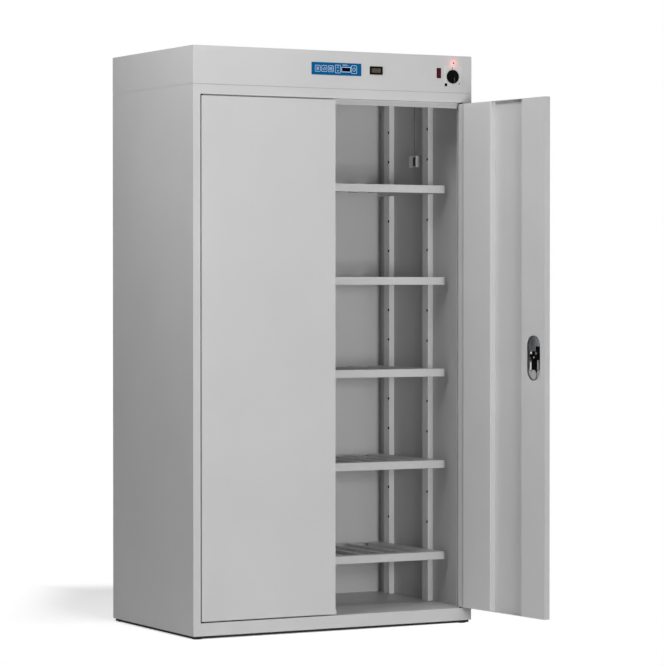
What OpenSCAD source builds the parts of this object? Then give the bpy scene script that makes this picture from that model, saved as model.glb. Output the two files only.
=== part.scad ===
// Two-door drying cabinet in sheet steel: welded body on four glides, five slatted shelves, a warm-air header on top.
// The right door stands open and the left door is closed. Millimetres, Z up, front at -Y, origin on the floor
// under the middle of the base.

/* [Cabinet] */
// Overall width
cab_w = 1000; // [900:10:1300]
// Overall depth
cab_d = 600; // [540:10:700]
// Overall height from floor to lid
cab_h = 1835; // [1760:5:2000]
// Thickness of the body sheet
sheet_t = 1.2; // [0.8:0.1:1.6]
// Height of the header box
header_h = 120; // [110:5:150]
// Shadow gap between header and body
seam_h = 2; // [1:0.1:3]
// Width of the inward flanges that join sheets
flange_w = 15; // [10:1:20]
// Height of the ceiling sheet below the header joint
ceiling_drop = 8; // [6:1:12]

/* [Base] */
// Height of the glides
foot_h = 10; // [8:1:20]
// Diameter of the glides
foot_d = 30; // [20:1:40]
// Distance of a glide's centre from the outer faces
foot_inset = 24; // [22:1:40]
// Height of the dark band above the floor line
plinth_h = 8; // [5:1:8]
// Set-back of the dark band from the outer faces
plinth_inset = 6; // [3:1:12]
// Width of the dark band
plinth_w = 38; // [34:1:50]
// Width of the base ring sheet
base_ring_w = 50; // [40:1:80]
// Diameter of the glide's stud
stud_d = 8; // [5:1:10]
// Length of the glide's stud above the base ring's underside
stud_l = 18; // [10:1:30]

/* [Frame] */
// Width of the front jambs
jamb_w = 25; // [20:1:35]
// Height of the bottom rail
bottom_rail_h = 40; // [30:1:60]
// Height of the top rail
top_rail_h = 30; // [25:1:50]
// Distance of the stop lips behind the front
stop_set_back = 22; // [22:1:26]
// Width of the side stop lips
side_lip_w = 16; // [10:1:20]
// Height of the top stop lip
top_lip_h = 17.4; // [10:0.2:25]
// Width of the centre stop tab
stop_tab_w = 30; // [20:1:50]
// Height of the centre stop tab
stop_tab_h = 16; // [10:1:20]
// Corner radius of the centre stop tab
stop_tab_r = 5; // [2:1:8]

/* [Doors] */
// Thickness of a door
door_t = 20; // [20:0.5:21]
// Thickness of the door sheet
door_sheet = 1.2; // [0.8:0.1:1.2]
// Gap between a door and its jamb
side_gap = 4; // [4:0.5:6]
// Gap between the two doors
meeting_gap = 2; // [2:0.5:4]
// Gap above and below the doors
end_gap = 4.5; // [3:0.5:6]
// Angle at which the right door stands open
right_open = 94.5; // [85:0.5:105]
// Pivot distance from the door's hinge edge
pivot_edge = 5; // [5:0.5:6]
// Pivot distance from the door's front face
pivot_face = 6; // [5.5:0.5:7]
// Diameter of the pivot pins
pivot_d = 6; // [5:0.5:6]
// Radial running clearance of the pins
pin_fit = 0.05; // [0.02:0.01:0.1]
// Depth of a pivot pin in the door
pivot_l = 18; // [12:1:25]
// Height of the pivot boss in the door's corner
boss_h = 20; // [18:1:30]
// Width of the hinge stile along a door's hinge edge
stile_w = 24; // [18:1:28]
// Step of the hinge stile below the door's inner face
stile_step = 6; // [4:0.5:6]
// Distance of the hinge-side stiffener from the hinge edge
stiff_u = 33; // [30:1:50]
// Width of the hinge-side stiffener
stiff_w = 151.5; // [110:0.5:170]
// Width of the stiffener at the meeting edge
meet_w = 122; // [110:1:150]
// Weld flange of the stiffeners
weld_w = 12; // [8:1:20]
// Outer bend radius of the stiffeners
bend_r = 2.4; // [1.6:0.1:4]

/* [Lock] */
// Height of the lock's centre
lock_z = 868; // [700:1:1200]
// Distance of the lock's centre from the free edge
lock_edge = 58; // [50:1:70]
// Width of the oval cut-out inside the door
oval_w = 68; // [66:1:72]
// Height of the oval cut-out inside the door
oval_h = 142; // [142:1:170]
// Width of the dish let into the door
dish_w = 62; // [60:1:62]
// Height of the dish
dish_h = 137; // [130:1:138]
// Depth of the dish
dish_depth = 13.2; // [13:0.1:13.2]
// Wall of the dish
dish_wall = 1.2; // [1:0.1:1.5]
// Width of the dish rim beyond its wall
rim_w = 3.5; // [2:0.5:6]
// Thickness of the dish rim
rim_t = 1.6; // [1:0.1:2.4]
// Diameter of the handle's spindle
spindle_d = 10; // [8:0.5:12]
// Diameter of the handle's hub
hub_d = 26; // [20:1:30]
// Length of the handle from its spindle
handle_l = 95; // [70:1:110]
// Width of the handle
handle_w = 16; // [12:1:20]
// Thickness of the handle
handle_t = 8; // [6:1:10]
// Standing height of the handle above the door face
handle_rise = 12; // [12:1:16]
// Radius of the cam pins, which is the rods' travel
cam_r = 13; // [10:0.5:13]
// Diameter of the cam pins
cam_pin_d = 4; // [3:0.5:4]
// Thickness of the cam
cam_t = 1.4; // [1:0.1:1.4]
// Width of the lock rods
rod_w = 16; // [12:1:16]
// Thickness of the lock rods
rod_t = 1.5; // [1:0.1:1.5]
// Clearance between moving sheet pieces
run_gap = 0.3; // [0.2:0.05:0.3]
// Diameter of the domed rod guide
dome_d = 58; // [50:1:58]
// Diameter of the lower rod guide
pad_d = 30; // [26:1:32]
// Height of the lower rod guide below the lock's centre
pad_drop = 52; // [48:1:54]
// Diameter of the key cylinder
barrel_d = 18; // [14:1:20]

/* [Flush bolts] */
// Diameter of the left door's bolts
bolt_d = 8; // [6:1:10]
// Length of the left door's bolts
bolt_l = 160; // [120:5:220]
// Travel of the bolts
bolt_travel = 13; // [10:1:14]
// Depth of the bolts' axis behind the door face
bolt_depth = 11; // [9:0.5:12]
// Width of the thumb tab
thumb_w = 8; // [6:1:12]
// Height of the thumb tab
thumb_h = 12; // [8:1:16]

/* [Posts and shelves] */
// Width of a shelf post
post_w = 36; // [30:1:45]
// Depth of a shelf post
post_depth = 18.6; // [14:0.2:24]
// Thickness of the post sheet
post_t = 1.5; // [1:0.1:2]
// Distance of the front posts from the front
post_front = 244; // [220:1:260]
// Distance of the rear posts' back from the back of the cabinet
post_back = 61; // [40:1:80]
// Height of the lowest post hole
hole_z = 212; // [180:1:240]
// Spacing of the post holes
hole_pitch = 100; // [95:1:105]
// Diameter of the post holes
hole_d = 7; // [6.5:0.1:9]
// Distance of the holes from the post's front edge
hole_edge = 5.1; // [5:0.1:8]
// Number of shelves
shelf_n = 5; // [3:1:5]
// Post holes between two shelves
shelf_step = 3; // [2:1:3]
// Sheet of the shelves
shelf_t = 1; // [0.8:0.1:1.5]
// Gap between a shelf's end and the posts
shelf_end_gap = 0.5; // [0.3:0.1:1]
// Distance of the shelves' front edge from the front
shelf_front = 136; // [120:1:160]
// Distance of the shelves' back edge from the back of the cabinet
shelf_back = 15; // [8:1:30]
// Height of the shelf lip
shelf_lip = 25; // [22:1:35]
// Rise of the shelf's back rail above its strips
rail_rise = 4; // [2:1:8]
// Height of a shelf above its screws
screw_drop = 10; // [9:0.5:14]
// Width of the closed shelf border at each end
border_w = 58; // [40:1:80]
// Width of a shelf's front and back bands
band_w = 40; // [25:1:60]
// Width of a shelf strip
strip_w = 18; // [14:1:22]
// Number of slots across a shelf
slot_n = 11; // [9:1:12]
// Depth of the strips' flanges
strip_h = 14; // [8:1:20]
// Diameter of the shelf screws
screw_d = 6; // [5:0.5:6]
// Head diameter of the shelf screws
screw_head_d = 12; // [9:0.5:14]
// Head height of the shelf screws
screw_head_h = 3; // [2:0.5:4]

/* [Probe] */
// Distance of the probe guard's lower edge below the ceiling
guard_drop = 218; // [185:1:260]
// Height of the probe guard
guard_h = 38; // [30:1:50]
// Length of the probe guard
guard_l = 48; // [40:1:60]
// Distance of the guard behind the front post
guard_gap = 46; // [20:1:60]
// Projection of the guard from the wall
guard_out = 16.8; // [14:0.2:18]
// Width of the slot in the guard
guard_slot = 22; // [10:1:30]
// Margin round the slot in the guard
guard_edge = 4; // [3:1:6]
// Diameter of the probe
probe_d = 6; // [4:0.5:8]
// Diameter of the probe's capillary
capillary_d = 2.5; // [2:0.1:3]

/* [Header controls] */
// Width of the keypad
pad_w = 179; // [177:1:190]
// Height of the keypad
pad_h = 39.5; // [38:0.5:45]
// Thickness of the keypad
pad_t = 0.8; // [0.5:0.1:1.2]
// Middle of the keypad across the header
pad_x = 2.5; // [0:0.5:5]
// Height of the controls' centre line above the header joint
panel_z = 62.75; // [55:0.25:65]
// Width of a key
key_w = 20; // [17:0.5:21]
// Height of the three function keys
key_h = 20.5; // [16:0.5:22]
// Height of the two tall keys
tall_key_h = 26; // [22:0.5:30]
// Key travel
key_travel = 0.6; // [0.4:0.1:0.8]
// Width of the display
display_w = 29.6; // [26:0.1:30]
// Height of the display
display_h = 12; // [10:0.5:16]
// Middle of the display across the header
display_x = 36.8; // [35:0.1:38]
// Width of the hour meter's bezel
meter_w = 46.4; // [40:0.1:52]
// Height of the hour meter's bezel
meter_h = 26; // [22:1:30]
// Middle of the hour meter across the header
meter_x = 145.8; // [140:0.1:180]
// Width of the switch bezel
switch_w = 15.5; // [14:0.5:20]
// Height of the switch bezel
switch_h = 32.4; // [30:0.2:36]
// Distance of the switch from the right side
switch_side = 122.8; // [115:0.2:140]
// Tilt of the switch rocker to each side
rocker_tilt = 6; // [3:1:7]
// Diameter of the knob
knob_d = 44; // [36:1:50]
// Height of the knob
knob_h = 14; // [12:1:18]
// Distance of the knob's centre from the right side
knob_side = 72; // [62:1:80]
// Height of the knob's centre above the header joint
knob_z = 52.6; // [45:0.2:56]
// Side of the square dial plate
dial_w = 66; // [60:1:70]
// Diameter of the pilot lamp
lamp_d = 6; // [5:0.5:8]
// Height of the pilot lamp above the header joint
lamp_z = 96.6; // [93:0.2:100]

/* [Air unit] */
// Position of the fan across the header
fan_x = -120; // [-160:5:-100]
// Position of the fan from front to back
fan_y = 60; // [40:5:80]
// Diameter of the fan housing
scroll_d = 200; // [190:2:220]
// Height of the fan housing
scroll_h = 82; // [78:1:90]
// Diameter of the impeller
impeller_d = 160; // [140:2:170]
// Number of blades
blade_n = 20; // [12:1:24]
// Height of the impeller
wheel_h = 50; // [40:1:52]
// Length of a blade
blade_l = 17; // [12:1:20]
// Width of the impeller's inlet ring
inlet_w = 20; // [14:1:24]
// Width of the air duct
duct_w = 80; // [70:2:90]
// Reach of the air duct from the fan's centre
duct_l = 330; // [310:5:360]
// Diameter of the heater tubes
heater_d = 8; // [6:1:10]
// Spacing of the heater tube's legs
heater_pitch = 26; // [22:1:30]
// Distance of the heater's middle from the fan's axis
heater_reach = 130; // [120:1:140]
// Space between the heater's bends and the duct's far side
heater_end = 24; // [22:1:28]
// Diameter of the motor
motor_d = 72; // [60:2:80]
// Diameter of the motor shaft
shaft_d = 8; // [6:1:10]
// Number of outlet slots in the ceiling
outlet_n = 8; // [4:1:8]
// Number of vent slots in the back of the header
vent_n = 9; // [5:1:12]
// Distance of the cable gland from the right side
gland_side = 120; // [60:5:200]
// Height of the cable gland above the header joint
gland_up = 45; // [30:1:60]

/* [Hidden] */
$fn = 48;

steel = [0.80, 0.80, 0.81];
zinc = [0.70, 0.71, 0.73];
black = [0.08, 0.08, 0.09];
eps = 1;

// Outer faces and levels
x1 = cab_w / 2;
y0 = -cab_d / 2;
y1 = cab_d / 2;
wall_x = x1 - sheet_t;
floor_z = foot_h + bottom_rail_h;
header_z = cab_h - header_h;
rail_z = header_z - top_rail_h;
ceiling_z = header_z - ceiling_drop;
ceiling_top = ceiling_z + sheet_t;
stop_y = y0 + stop_set_back;
jamb_x = x1 - jamb_w;
lip_x = jamb_x - side_lip_w;

// Doors, drawn from their hinge edge (u), their front face (d) and the floor
door_xh = jamb_x - side_gap;
door_w = door_xh - meeting_gap / 2;
door_z0 = floor_z + end_gap;
door_z1 = rail_z - end_gap;
pivot_x = door_xh - pivot_edge;
pivot_y = y0 + pivot_face;
pin_head_d = 2 * (pivot_face - sheet_t - run_gap);
pin_head_h = 3;
lock_u = door_w - lock_edge;
dome_rise = oval_h / 2 - oval_w / 2;
dome_face = door_t - 0.6;
dish_back = dish_depth;
cam_d0 = dish_back + run_gap;
cam_d1 = cam_d0 + cam_t;
upper_d0 = cam_d1 + run_gap;
upper_d1 = upper_d0 + rod_t;
lower_d0 = upper_d1 + run_gap;
lower_d1 = lower_d0 + rod_t;
rod_end_gap = 0.5;
socket_gap = 1.5;
slot_gap = 1;
cam_slack = 0.211 * cam_r;
foot_edge = 2.5;
dome_low = cam_r + cam_pin_d / 2 + cam_slack + foot_edge + 3 * run_gap;
bolt_u = door_w - lock_edge;
thumb_out = 2;
guide_t = 2;
guide_z = thumb_h + bolt_travel + 2 * slot_gap;

// Posts and shelves
post_x = wall_x - post_depth;
post_y = [y0 + post_front, y1 - post_back - post_w];
hole_n = floor((ceiling_z - hole_z - hole_d) / hole_pitch);
shelf_x = post_x - shelf_end_gap;
shelf_y0 = y0 + shelf_front;
shelf_y1 = y1 - shelf_back;
slot_w = (2 * shelf_x - 2 * border_w - (slot_n - 1) * strip_w) / slot_n;
guard_z = ceiling_z - guard_drop;
guard_y = post_y[0] + post_w + guard_gap;
probe_x = wall_x - guard_out / 2;
probe_y = guard_y + guard_l / 2;

// Header controls
panel_mid = header_z + panel_z;
switch_x = x1 - switch_side;
knob_x = x1 - knob_side;
knob_mid = header_z + knob_z;
lamp_mid = header_z + lamp_z;
lamp_x = knob_x + 4;
key_pitch = key_w + 3.4;
key_row_x = display_x - display_w / 2 - 5 - key_w / 2;
keys = [[key_row_x - 3 * key_pitch - 2, key_h], [key_row_x - 2 * key_pitch - 2, key_h],
        [key_row_x - key_pitch - 2, key_h], [key_row_x, tall_key_h],
        [display_x + display_w / 2 + 4 + key_w / 2, tall_key_h]];
key_gap = 0.3;
key_collar = 1.2;
key_collar_t = 0.6;
key_proud = 0.3;
key_back_y = y0 + sheet_t + key_gap + key_collar_t;
switch_face_y = key_back_y + key_travel + key_gap;
board_y = y0 + sheet_t + 7;
board_h = pad_h + 16.5;
board_post_d = 6;
connector_w = 80;
connector_h = 14;
spindle_l = 12;
rocker_w = switch_w - 4;
rocker_h = switch_h - 4.8;

// Air unit
duct_y0 = fan_y - scroll_d / 2;
duct_top = ceiling_top + scroll_h;
duct_x1 = fan_x + duct_l;
gland_x = x1 - gland_side;
gland_z = header_z + gland_up;
heater_x = fan_x + heater_reach;
heater_leg = duct_w - heater_end;
wheel_z0 = ceiling_top + 5;
wheel_z1 = wheel_z0 + wheel_h;
wheel_t = 2;
hub_l = 20;
hub_wall = 14;
motor_z0 = wheel_z1 + 4;

function shelf_z(i) = hole_z + (i - 1) * shelf_step * hole_pitch + screw_drop;

// A block from three pairs of limits
module block(x, y, z) {
  translate([x[0], y[0], z[0]])
    cube([x[1] - x[0], y[1] - y[0], z[1] - z[0]]);
}

// The same block on the other side of the middle plane as well
module pair() {
  children();
  mirror([1, 0, 0])
    children();
}

// Upright oval with straight sides
module racetrack(w, h) {
  square([w, h - w], center = true);
  for (s = [-1, 1])
    translate([0, s * (h - w) / 2])
      circle(d = w);
}

// Rectangle with round corners
module round_rect(w, h, r) {
  square([w - 2 * r, h], center = true);
  square([w, h - 2 * r], center = true);
  for (sx = [-1, 1], sy = [-1, 1])
    translate([sx * (w / 2 - r), sy * (h / 2 - r)])
      circle(r = r);
}

// Extrudes a front view from depth a to depth b behind the plane y
module facing(x, y, z, a, b) {
  translate([x, y + b, z])
    rotate([90, 0, 0])
      linear_extrude(b - a)
        children();
}

// A round bar along Z, X or Y
module bar_z(x, y, z, d) {
  translate([x, y, z[0]])
    cylinder(d = d, h = z[1] - z[0]);
}
module bar_x(x, y, z, d) {
  translate([x[0], y, z])
    rotate([0, 90, 0])
      cylinder(d = d, h = x[1] - x[0]);
}
module bar_y(x, y, z, d) {
  translate([x, y[1], z])
    rotate([90, 0, 0])
      cylinder(d = d, h = y[1] - y[0]);
}

module in_left_door() {
  translate([-door_xh, y0, 0])
    children();
}

module in_right_door() {
  translate([pivot_x, pivot_y, 0])
    rotate([0, 0, right_open])
      translate([door_xh - pivot_x, y0 - pivot_y, 0])
        mirror([1, 0, 0])
          children();
}

// ---- Base ----

module feet() {
  color(black)
    for (sx = [-1, 1], sy = [-1, 1]) {
      bar_z(sx * (x1 - foot_inset), sy * (y1 - foot_inset), [0, foot_h], foot_d);
      bar_z(sx * (x1 - foot_inset), sy * (y1 - foot_inset), [foot_h - eps, foot_h + stud_l], stud_d);
    }
}

module plinth_band() {
  color(black)
    difference() {
      block([-x1 + plinth_inset, x1 - plinth_inset], [y0 + plinth_inset, y1 - plinth_inset],
            [foot_h - plinth_h, foot_h]);
      block([-x1 + plinth_inset + plinth_w, x1 - plinth_inset - plinth_w],
            [y0 + plinth_inset + plinth_w, y1 - plinth_inset - plinth_w], [0, foot_h + eps]);
      for (sx = [-1, 1], sy = [-1, 1])
        bar_z(sx * (x1 - foot_inset), sy * (y1 - foot_inset), [-eps, foot_h + eps], foot_d + 2 * run_gap);
    }
}

module base_frame() {
  color(steel)
    difference() {
      block([-wall_x, wall_x], [y0 + sheet_t, y1 - sheet_t], [foot_h, foot_h + sheet_t]);
      block([-wall_x + base_ring_w, wall_x - base_ring_w],
            [y0 + sheet_t + base_ring_w, y1 - sheet_t - base_ring_w], [0, foot_h + 2 * sheet_t]);
      for (sx = [-1, 1], sy = [-1, 1])
        bar_z(sx * (x1 - foot_inset), sy * (y1 - foot_inset), [0, foot_h + 2 * sheet_t], stud_d + 2 * run_gap);
    }
}

// ---- Body sheets ----

module side_panel() {
  block([wall_x, x1], [y0, y1], [foot_h, header_z]);
  block([wall_x - flange_w, x1], [y0 + flange_w, y1 - sheet_t], [header_z - sheet_t, header_z]);
}

module left_side_panel() {
  color(steel)
    mirror([1, 0, 0])
      side_panel();
}

module right_side_panel() {
  color(steel)
    side_panel();
}

module back_panel() {
  color(steel)
    block([-wall_x, wall_x], [y1 - sheet_t, y1], [foot_h, header_z]);
}

module floor_panel() {
  color(steel)
    difference() {
      block([-wall_x, wall_x], [stop_y, y1 - sheet_t], [floor_z - sheet_t, floor_z]);
      pair()
        block([lip_x, x1], [stop_y - eps, stop_y + sheet_t], [floor_z - 2 * sheet_t, floor_z + eps]);
    }
}

module bottom_rail() {
  color(steel)
    difference() {
      union() {
        block([-jamb_x, jamb_x], [y0, y0 + sheet_t], [foot_h, floor_z]);
        block([-jamb_x, jamb_x], [y0, stop_y], [floor_z - sheet_t, floor_z]);
        block([-jamb_x, jamb_x], [stop_y - sheet_t, stop_y], [floor_z - flange_w, floor_z]);
      }
      pair()
        bar_z(pivot_x, pivot_y, [floor_z - 2 * sheet_t, floor_z + eps], pivot_d + 2 * pin_fit);
      rod_hole(lower_d0, lower_d1, floor_z);
      bolt_hole(floor_z);
    }
}

module top_rail() {
  color(steel)
    difference() {
      union() {
        block([-jamb_x, jamb_x], [y0, y0 + sheet_t], [rail_z, header_z]);
        block([-jamb_x, jamb_x], [y0, stop_y], [rail_z, rail_z + sheet_t]);
        block([-jamb_x, jamb_x], [y0, y0 + flange_w], [header_z - sheet_t, header_z]);
      }
      pair()
        bar_z(pivot_x, pivot_y, [rail_z - eps, rail_z + 2 * sheet_t], pivot_d + 2 * pin_fit);
      rod_hole(upper_d0, upper_d1, rail_z + sheet_t);
      bolt_hole(rail_z + sheet_t);
    }
}

// Socket of a lock rod in a rail whose flange has its top at z
module rod_hole(d0, d1, z) {
  block([door_xh - lock_u - rod_w / 2 - socket_gap, door_xh - lock_u + rod_w / 2 + socket_gap],
        [y0 + d0 - socket_gap, y0 + d1 + socket_gap], [z - 2 * sheet_t, z + eps]);
}

// Square socket of a flush bolt in a rail whose flange has its top at z
module bolt_hole(z) {
  r = bolt_d / 2 + socket_gap;
  block([-door_xh + bolt_u - r, -door_xh + bolt_u + r], [y0 + bolt_depth - r, y0 + bolt_depth + r],
        [z - 2 * sheet_t, z + eps]);
}

module jamb() {
  block([jamb_x, wall_x], [y0, y0 + sheet_t], [foot_h, header_z]);
  block([wall_x - sheet_t, wall_x], [y0, y0 + flange_w - run_gap], [foot_h + sheet_t, header_z]);
  block([jamb_x, jamb_x + sheet_t], [y0, stop_y + sheet_t], [foot_h + stud_l + run_gap, header_z]);
  block([lip_x, jamb_x + sheet_t], [stop_y, stop_y + sheet_t], [foot_h + stud_l + run_gap, ceiling_z]);
}

module left_jamb() {
  color(steel)
    mirror([1, 0, 0])
      jamb();
}

module right_jamb() {
  color(steel)
    jamb();
}

// Lip that the doors close against at the top, and the tab in the middle of the bottom rail
module door_stops() {
  color(steel) {
    block([-lip_x, lip_x], [stop_y, stop_y + sheet_t], [rail_z - top_lip_h, ceiling_top]);
    facing(0, stop_y, floor_z, 0, sheet_t) {
      translate([-stop_tab_w / 2, 0])
        square([stop_tab_w, stop_tab_h - stop_tab_r]);
      translate([-stop_tab_w / 2 + stop_tab_r, 0])
        square([stop_tab_w - 2 * stop_tab_r, stop_tab_h]);
      for (s = [-1, 1])
        translate([s * (stop_tab_w / 2 - stop_tab_r), stop_tab_h - stop_tab_r])
          circle(r = stop_tab_r);
    }
    block([-stop_tab_w / 2, stop_tab_w / 2], [stop_y, stop_y + flange_w], [floor_z, floor_z + sheet_t]);
  }
}

module ceiling_panel() {
  color(steel)
    difference() {
      block([-wall_x, wall_x], [stop_y + sheet_t, y1 - sheet_t], [ceiling_z, ceiling_top]);
      // air inlet under the fan
      bar_z(fan_x, fan_y, [ceiling_z - eps, ceiling_top + eps], 10);
      for (ring = [1 : 4])
        for (i = [0 : 6 * ring - 1])
          translate([fan_x, fan_y, 0])
            rotate([0, 0, i * 60 / ring])
              bar_z(ring * 14, 0, [ceiling_z - eps, ceiling_top + eps], 10);
      // air outlet under the duct's end
      for (i = [0 : outlet_n - 1])
        block([duct_x1 - 14 - i * 12, duct_x1 - 8 - i * 12], [duct_y0 + 6, duct_y0 + duct_w - 6],
              [ceiling_z - eps, ceiling_top + eps]);
      // passage of the capillary
      bar_z(probe_x, probe_y, [ceiling_z - eps, ceiling_top + eps], capillary_d + 2 * slot_gap);
    }
}

// ---- Header ----

module header_front() {
  color(steel)
    difference() {
      union() {
        block([-wall_x, wall_x], [y0, y0 + sheet_t], [header_z + seam_h, cab_h]);
        block([-wall_x, wall_x], [y0 + sheet_t / 2, y0 + flange_w], [header_z, header_z + seam_h + sheet_t / 2]);
      }
      facing(display_x, y0, panel_mid - 1, -eps, sheet_t + eps)
        square([display_w + 2 * key_gap, display_h + 2 * key_gap], center = true);
      for (k = keys)
        facing(k[0], y0, panel_mid, -eps, sheet_t + eps)
          square([key_w + 2 * key_gap, k[1] + 2 * key_gap], center = true);
      facing(meter_x, y0, panel_mid, -eps, sheet_t + eps)
        square([meter_w - 3, meter_h - 3], center = true);
      facing(switch_x, y0, panel_mid, -eps, sheet_t + eps)
        square([switch_w - 2, switch_h - 2], center = true);
      bar_y(knob_x, [y0 - eps, y0 + sheet_t + eps], knob_mid, spindle_d + 2);
      bar_y(lamp_x, [y0 - eps, y0 + sheet_t + eps], lamp_mid, lamp_d + 2 * pin_fit);
    }
}

module header_side() {
  block([wall_x, x1], [y0, y1], [header_z + seam_h, cab_h]);
  block([wall_x - flange_w, x1 - sheet_t / 2], [y0 + flange_w, y1 - sheet_t],
        [header_z, header_z + seam_h + sheet_t / 2]);
}

module header_left_side() {
  color(steel)
    mirror([1, 0, 0])
      header_side();
}

module header_right_side() {
  color(steel)
    header_side();
}

module header_lid() {
  color(steel)
    block([-wall_x, wall_x], [y0 + sheet_t, y1 - sheet_t], [cab_h - sheet_t, cab_h]);
}

module header_back() {
  color(steel)
    difference() {
      block([-wall_x, wall_x], [y1 - sheet_t, y1], [header_z, cab_h]);
      for (i = [0 : vent_n - 1])
        block([-x1 / 2 + i * 22, -x1 / 2 + i * 22 + 8], [y1 - 2 * sheet_t, y1 + eps],
              [header_z + header_h / 4, header_z + header_h * 3 / 4]);
      bar_y(gland_x, [y1 - 2 * sheet_t, y1 + eps], gland_z, 20 + 2 * pin_fit);
    }
}

// ---- Posts and shelves ----

module post(ya) {
  difference() {
    block([post_x, wall_x], [ya, ya + post_w], [floor_z, ceiling_z]);
    block([post_x + post_t, wall_x - post_t], [ya + post_t, ya + post_w - post_t], [floor_z - eps, ceiling_z + eps]);
    block([wall_x - 2 * post_t, x1], [ya + post_w / 4, ya + post_w * 3 / 4], [floor_z - eps, ceiling_z + eps]);
    for (k = [0 : hole_n])
      bar_x([post_x - eps, post_x + 2 * post_t], ya + hole_edge, hole_z + k * hole_pitch, hole_d);
    block([post_x - eps, post_x + 2 * post_t], [ya + post_t, ya + post_t + hole_d], [floor_z - eps, floor_z + 10]);
  }
}

module left_posts() {
  color(steel)
    mirror([1, 0, 0])
      for (ya = post_y)
        post(ya);
}

module right_posts() {
  color(steel)
    for (ya = post_y)
      post(ya);
}

module shelf(i) {
  z = shelf_z(i);
  color(steel)
    difference() {
      union() {
        translate([0, 0, z - shelf_t])
          linear_extrude(shelf_t)
            difference() {
              translate([-shelf_x, shelf_y0])
                square([2 * shelf_x, shelf_y1 - shelf_y0]);
              for (k = [0 : slot_n - 1])
                translate([-shelf_x + border_w + k * (slot_w + strip_w), shelf_y0 + band_w])
                  square([slot_w, shelf_y1 - shelf_y0 - 2 * band_w]);
            }
        block([-shelf_x, shelf_x], [shelf_y0, shelf_y0 + shelf_t], [z - shelf_lip, z]);
        block([-shelf_x, shelf_x], [shelf_y1 - shelf_t, shelf_y1], [z + rail_rise - shelf_lip, z + rail_rise]);
        pair()
          block([shelf_x - shelf_t, shelf_x], [shelf_y0, shelf_y1], [z - shelf_lip, z]);
        for (k = [0 : slot_n - 1], e = [-shelf_t, slot_w])
          block([-shelf_x + border_w + k * (slot_w + strip_w) + e,
                 -shelf_x + border_w + k * (slot_w + strip_w) + e + shelf_t],
                [shelf_y0 + band_w, shelf_y1 - band_w], [z - strip_h, z]);
      }
      pair()
        for (ya = post_y)
          bar_x([shelf_x - 2 * shelf_t, shelf_x + eps], ya + hole_edge, z - screw_drop, hole_d);
    }
}

module shelf_screws() {
  color(zinc)
    for (i = [1 : shelf_n], ya = post_y)
      pair() {
        bar_x([shelf_x - shelf_t - screw_head_h, shelf_x - shelf_t], ya + hole_edge,
              shelf_z(i) - screw_drop, screw_head_d);
        bar_x([shelf_x - shelf_t - eps, post_x + 10], ya + hole_edge, shelf_z(i) - screw_drop, screw_d);
      }
}

// ---- Probe on the right wall ----

module probe_guard() {
  color(steel)
    difference() {
      block([wall_x - guard_out, wall_x], [guard_y, guard_y + guard_l], [guard_z, guard_z + guard_h]);
      block([wall_x - guard_out + sheet_t, x1], [guard_y + sheet_t, guard_y + guard_l - sheet_t],
            [guard_z - eps, guard_z + guard_h + eps]);
      block([wall_x - guard_out - eps, wall_x - guard_out + 2 * sheet_t],
            [guard_y + guard_edge, guard_y + guard_edge + guard_slot],
            [guard_z + guard_edge, guard_z + guard_h - guard_edge]);
    }
}

module probe_bulb() {
  color(zinc) {
    bar_z(probe_x, probe_y, [guard_z + 4, guard_z + guard_h - 4], probe_d);
    bar_z(probe_x, probe_y, [guard_z + guard_h - 5, ceiling_top + 3], capillary_d);
    block([probe_x, wall_x], [probe_y - 2, probe_y + 2], [guard_z + guard_h / 2 - 2, guard_z + guard_h / 2 + 2]);
  }
}

// ---- Air unit in the header ----

module air_path(r, grow) {
  translate([fan_x, fan_y])
    circle(r = r);
  translate([fan_x, duct_y0 - grow])
    square([duct_l + grow, duct_w + 2 * grow]);
}

module fan_housing() {
  color(zinc)
    difference() {
      translate([0, 0, ceiling_top])
        linear_extrude(scroll_h)
          air_path(scroll_d / 2, 0);
      translate([0, 0, ceiling_top - eps])
        linear_extrude(scroll_h - sheet_t + eps)
          air_path(scroll_d / 2 - sheet_t, -sheet_t);
      for (i = [-1.5 : 1.5])
        bar_y(heater_x + i * heater_pitch, [duct_y0 - eps, duct_y0 + 2 * sheet_t], ceiling_top + scroll_h / 2,
              heater_d + 2 * run_gap);
    }
}

module fan_motor() {
  color([0.35, 0.36, 0.38]) {
    bar_z(fan_x, fan_y, [motor_z0, duct_top - sheet_t], motor_d);
    bar_z(fan_x, fan_y, [wheel_z1 - hub_l + 2, motor_z0 + eps], shaft_d);
  }
}

module impeller() {
  color([0.25, 0.26, 0.28])
    difference() {
      union() {
        bar_z(fan_x, fan_y, [wheel_z1 - wheel_t, wheel_z1], impeller_d);
        bar_z(fan_x, fan_y, [wheel_z1 - hub_l, wheel_z1], shaft_d + hub_wall);
        difference() {
          bar_z(fan_x, fan_y, [wheel_z0, wheel_z0 + wheel_t], impeller_d);
          bar_z(fan_x, fan_y, [wheel_z0 - eps, wheel_z0 + wheel_t + eps], impeller_d - 2 * inlet_w);
        }
        for (i = [0 : blade_n - 1])
          translate([fan_x, fan_y, wheel_z0])
            rotate([0, 0, i * 360 / blade_n])
              translate([impeller_d / 2 - blade_l - wheel_t, 0, 0])
                rotate([0, 0, 20])
                  cube([blade_l, sheet_t, wheel_h]);
      }
      bar_z(fan_x, fan_y, [wheel_z0 - eps, wheel_z1 + eps], shaft_d + 2 * pin_fit);
    }
}

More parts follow.
